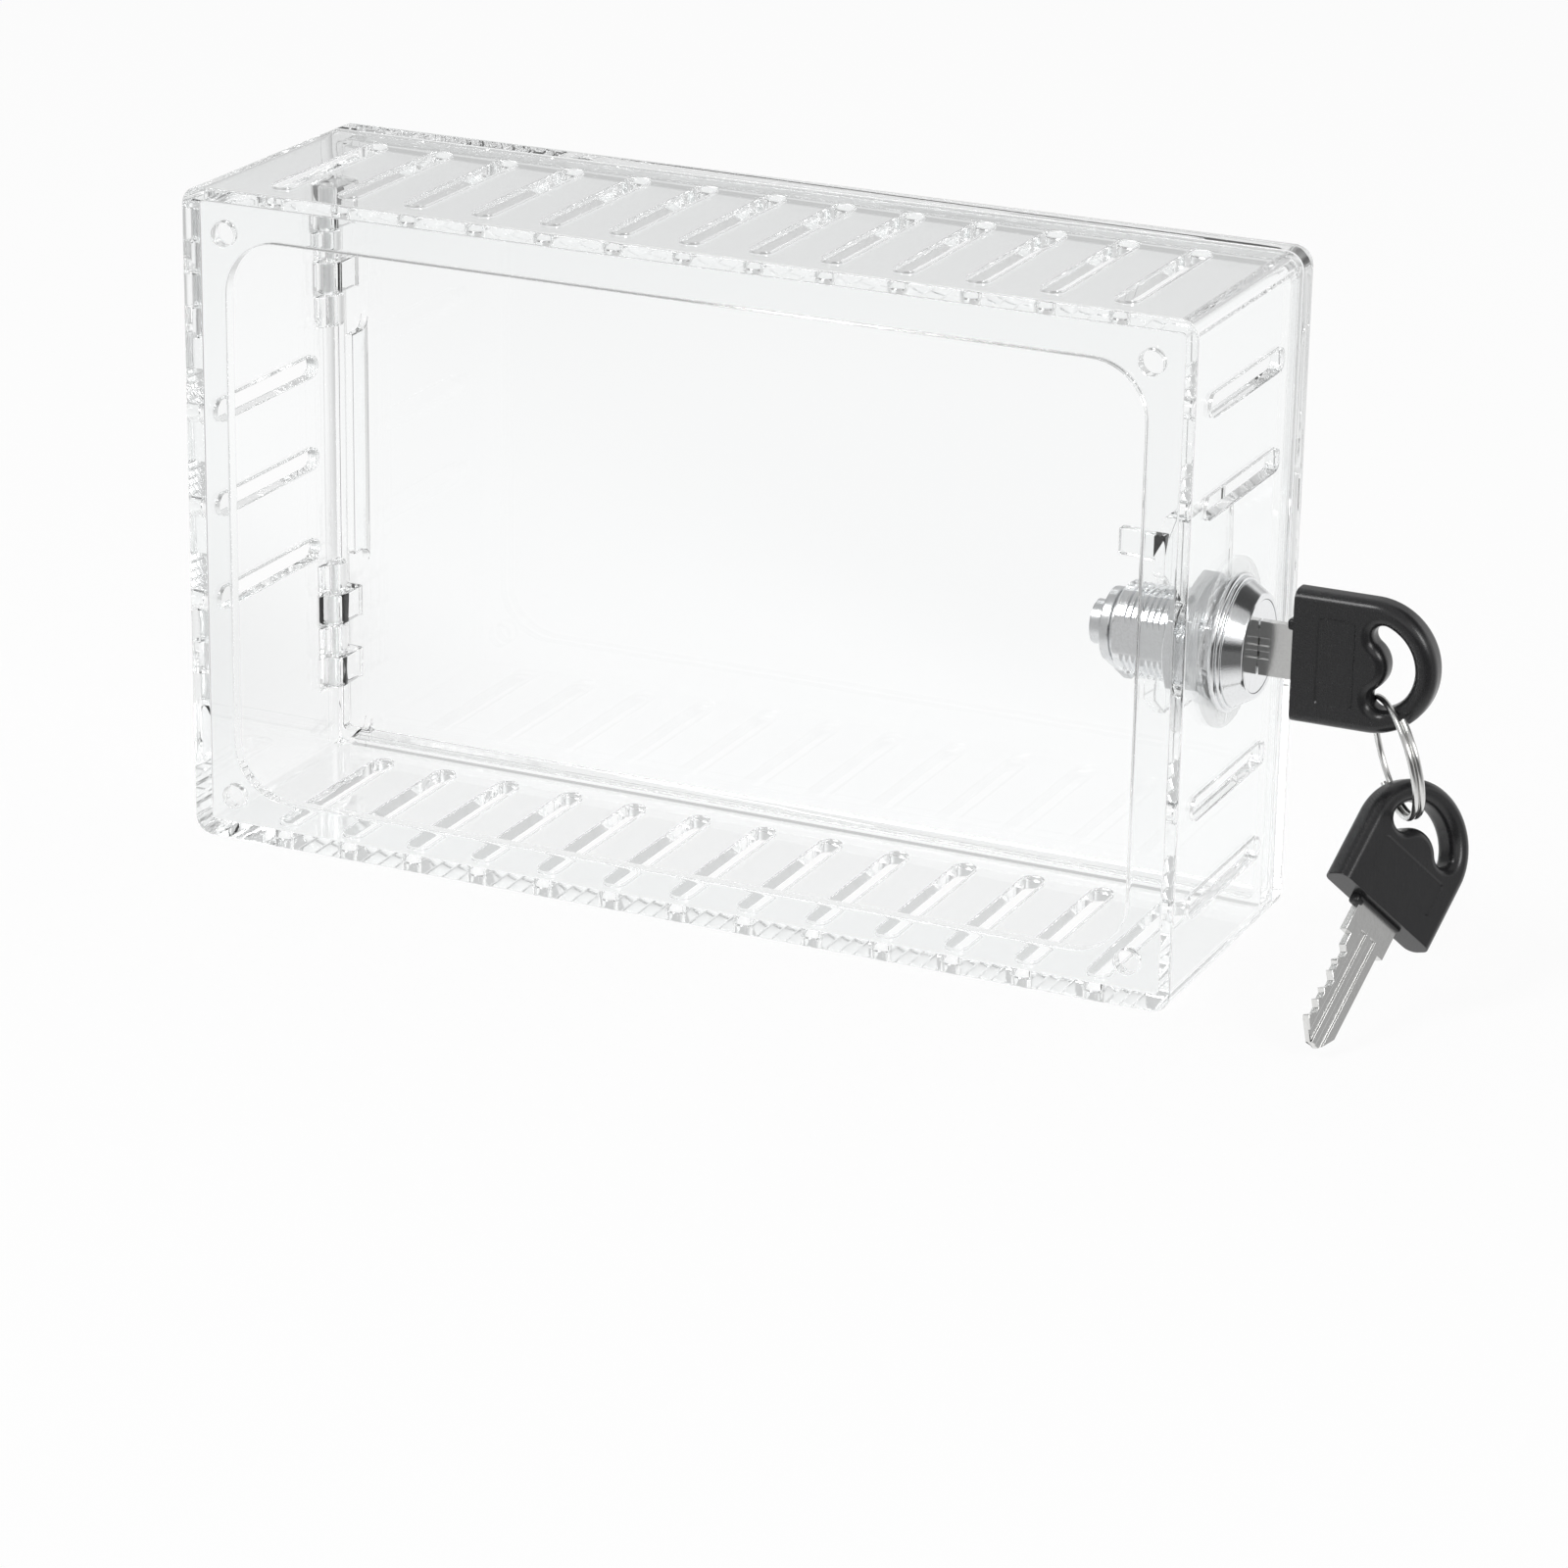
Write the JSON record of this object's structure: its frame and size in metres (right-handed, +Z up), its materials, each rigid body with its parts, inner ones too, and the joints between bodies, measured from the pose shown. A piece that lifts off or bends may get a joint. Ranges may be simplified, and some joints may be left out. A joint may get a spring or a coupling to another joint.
{
  "type": "thermostat lock box",
  "caption": "Clear plastic box that screws to a wall over a thermostat, with vent slots, a hinged front door and a keyed cam lock in its side.",
  "frame": {"origin": "middle of the four wall-screw holes, on the flange's rear face against the wall", "axes": "+Z up, +Y into the wall, -Y out of the door, -X to the lock's side and +X to the hinges' side"},
  "size_m": [0.2683, 0.073, 0.14],
  "materials": {
    "clear_plastic": "clear, polished",
    "washer_plastic": "translucent, satin",
    "lock_chrome": "bright chrome plating",
    "plug_zinc": "cast zinc, satin plating",
    "zinc_plate": "bright zinc plating",
    "pin_steel": "bright drawn steel",
    "wafer_brass": "stamped brass",
    "key_nickel": "nickel plating, lightly scratched",
    "key_black": "black, semi-matt moulded"
  },
  "bodies": {
    "box": {"housing": "clear_plastic", "upper_hinge_pin": "pin_steel", "lower_hinge_pin": "pin_steel", "bezel_washer": "washer_plastic", "lock_body": "lock_chrome", "tooth_washer": "zinc_plate", "lock_nut": "zinc_plate"},
    "door": {"door": "clear_plastic"},
    "plug": {"plug": "plug_zinc", "face_cap": "lock_chrome", "wafers": "wafer_brass", "wafer_springs": "pin_steel", "stop_washer": "zinc_plate", "cam": "zinc_plate", "spring_washer": "zinc_plate", "cam_screw": "zinc_plate"},
    "key": {"key_blade": "key_nickel", "key_head": "key_black"},
    "ring": {"split_ring": "key_nickel"},
    "spare_key": {"spare_blade": "key_nickel", "spare_head": "key_black"}
  },
  "joints": [
    {"name": "door_hinge", "type": "hinge", "parent": "box", "child": "door", "pos_m": [0.1067, -0.0537, 0], "axis": [0, 0, 1], "range_deg": [0, 100]},
    {"name": "plug_turn", "type": "hinge", "parent": "box", "child": "plug", "pos_m": [-0.11, -0.024, 0], "axis": [-1, 0, 0], "range_deg": [0, 90]},
    {"name": "key_slide", "type": "slide", "parent": "plug", "child": "key", "axis": [-1, 0, 0], "range_m": [0, 0.025]},
    {"name": "ring_swing", "type": "hinge", "parent": "key", "child": "ring", "pos_m": [-0.14295, -0.024, -0.00658], "axis": [0.6239, -0.7815, 0], "range_deg": [-20, 8]},
    {"name": "spare_swing", "type": "hinge", "parent": "ring", "child": "spare_key", "pos_m": [-0.14692, -0.02717, -0.03045], "axis": [0.6239, -0.7815, 0], "range_deg": [-20, 20]}
  ]
}
